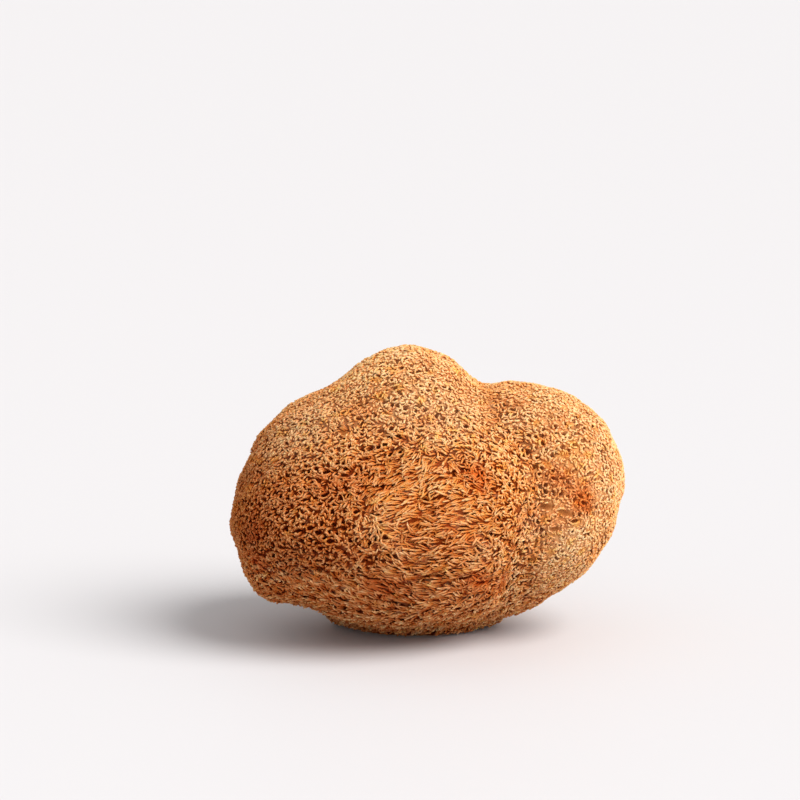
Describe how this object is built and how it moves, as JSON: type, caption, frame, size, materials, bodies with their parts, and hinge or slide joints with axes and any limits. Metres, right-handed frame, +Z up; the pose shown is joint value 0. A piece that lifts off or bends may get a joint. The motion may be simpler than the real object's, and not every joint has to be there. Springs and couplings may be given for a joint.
{
  "type": "lion's mane mushroom",
  "caption": "Dried lion's mane mushroom: a lobed ball of flesh covered in short combed spines, cut flat at the stem so that it rests.",
  "frame": {"origin": "middle of the flat cut where the stem was, which is the face that the mushroom rests on", "axes": "+X along the width, +Z up out of the cut, and the fullest side faces -Y"},
  "size_m": [0.0739, 0.0622, 0.0543],
  "materials": {
    "dried_spines": "dry, matt, fibrous; tan spine tips over red-brown flesh"
  },
  "bodies": {
    "root": {"fruiting_body": "dried_spines"}
  },
  "joints": []
}
